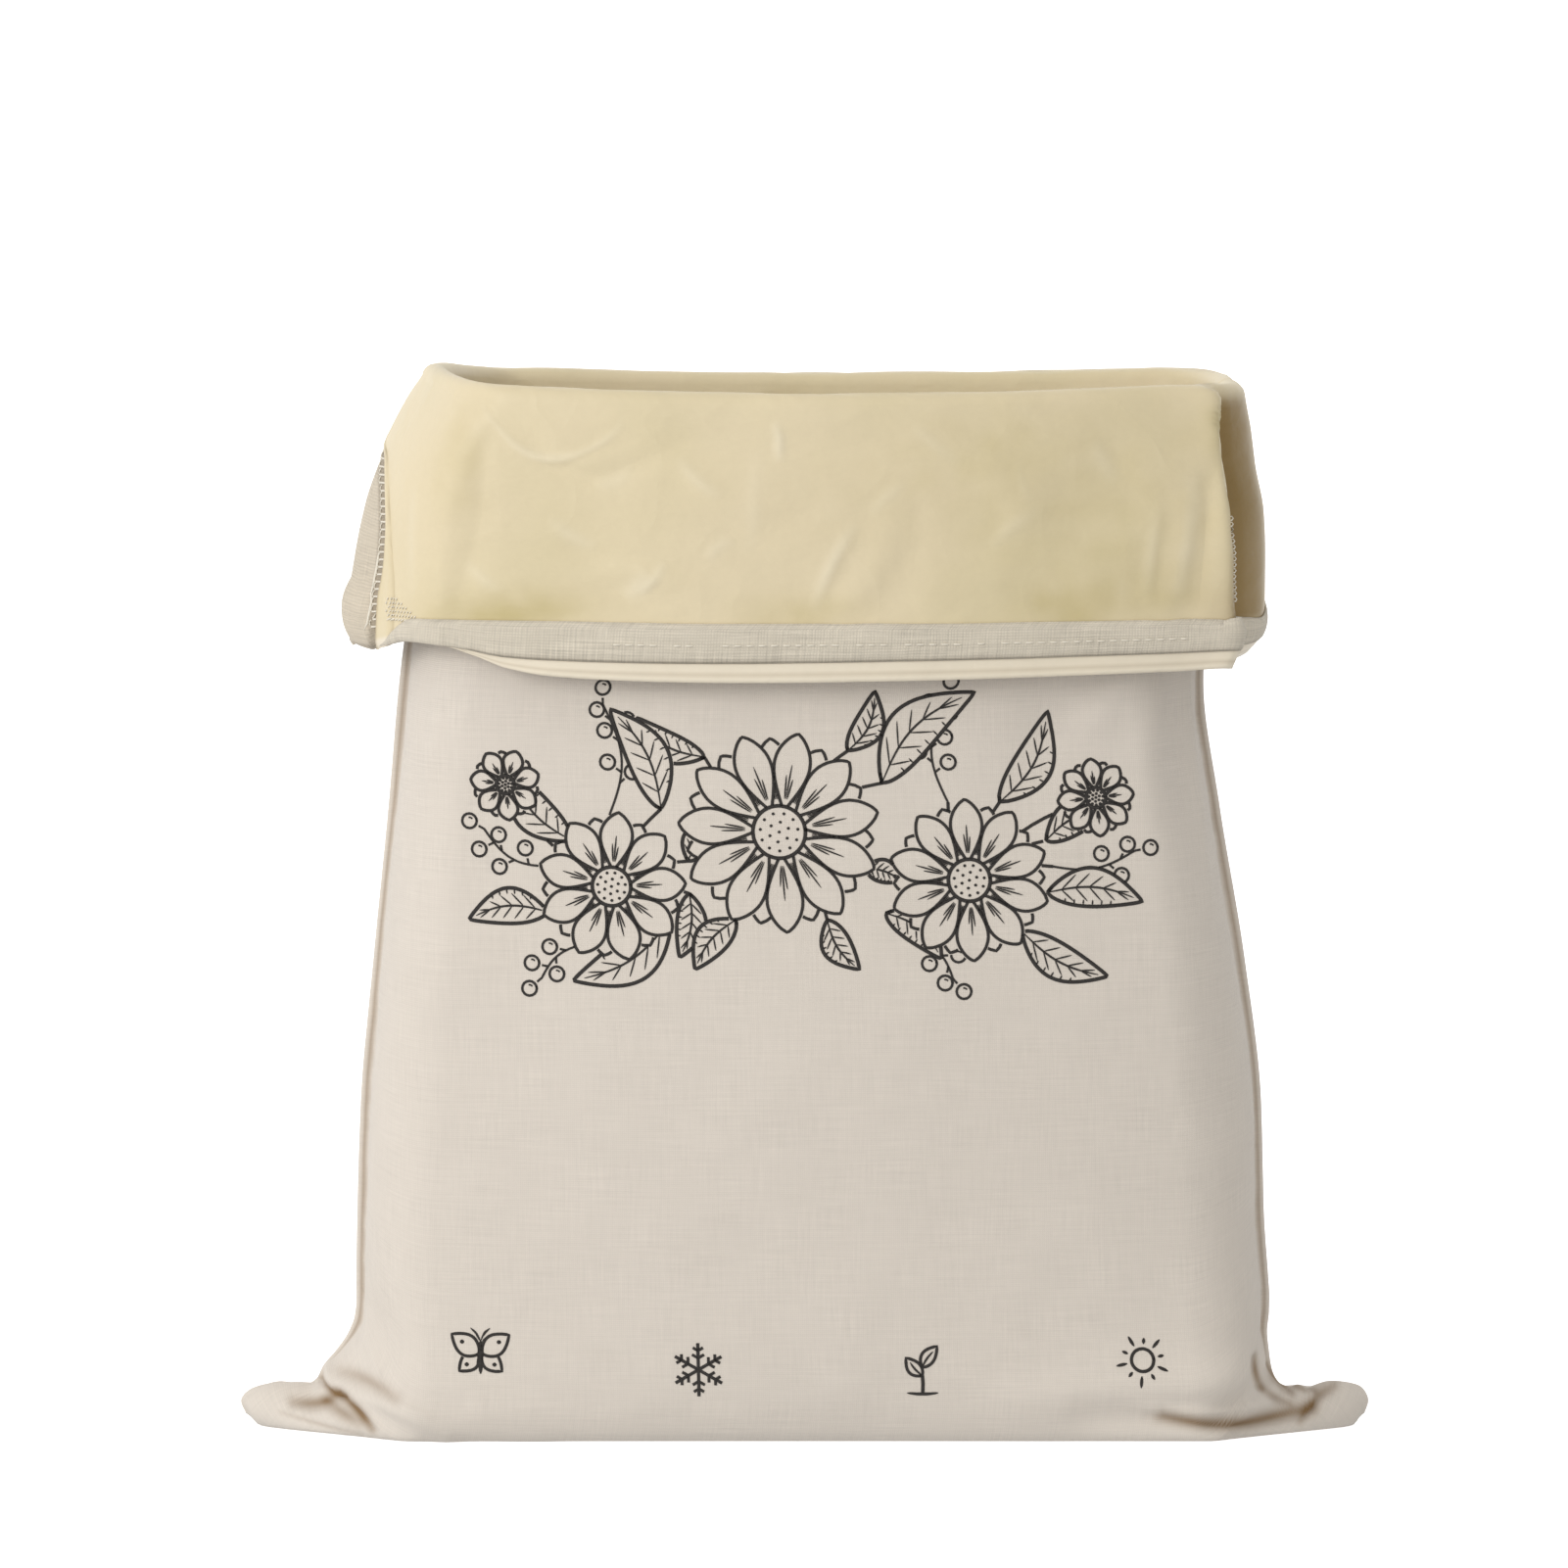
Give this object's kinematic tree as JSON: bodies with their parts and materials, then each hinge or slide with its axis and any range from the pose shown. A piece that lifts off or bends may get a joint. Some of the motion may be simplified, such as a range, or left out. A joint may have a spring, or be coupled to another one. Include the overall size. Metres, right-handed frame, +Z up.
{
  "type": "linen bread bag",
  "caption": "Standing lined linen bread bag with its mouth turned down into a cuff that shows the cream lining and a casing strip.",
  "frame": {"origin": "on the floor under the middle of the bag's box", "axes": "+X to the right along the bag's width, +Y from the printed front to the back, +Z up"},
  "size_m": [0.3501, 0.163, 0.3303],
  "materials": {
    "linen": "plain weave natural linen, matt",
    "lining": "smooth cream waxed cloth, soft sheen",
    "casing": "greyer linen tape, matt, stitched"
  },
  "bodies": {
    "root": {"linen_front": "linen", "linen_back": "linen", "lining_front": "lining", "lining_back": "lining", "casing_front": "casing", "casing_back": "casing"}
  },
  "joints": []
}
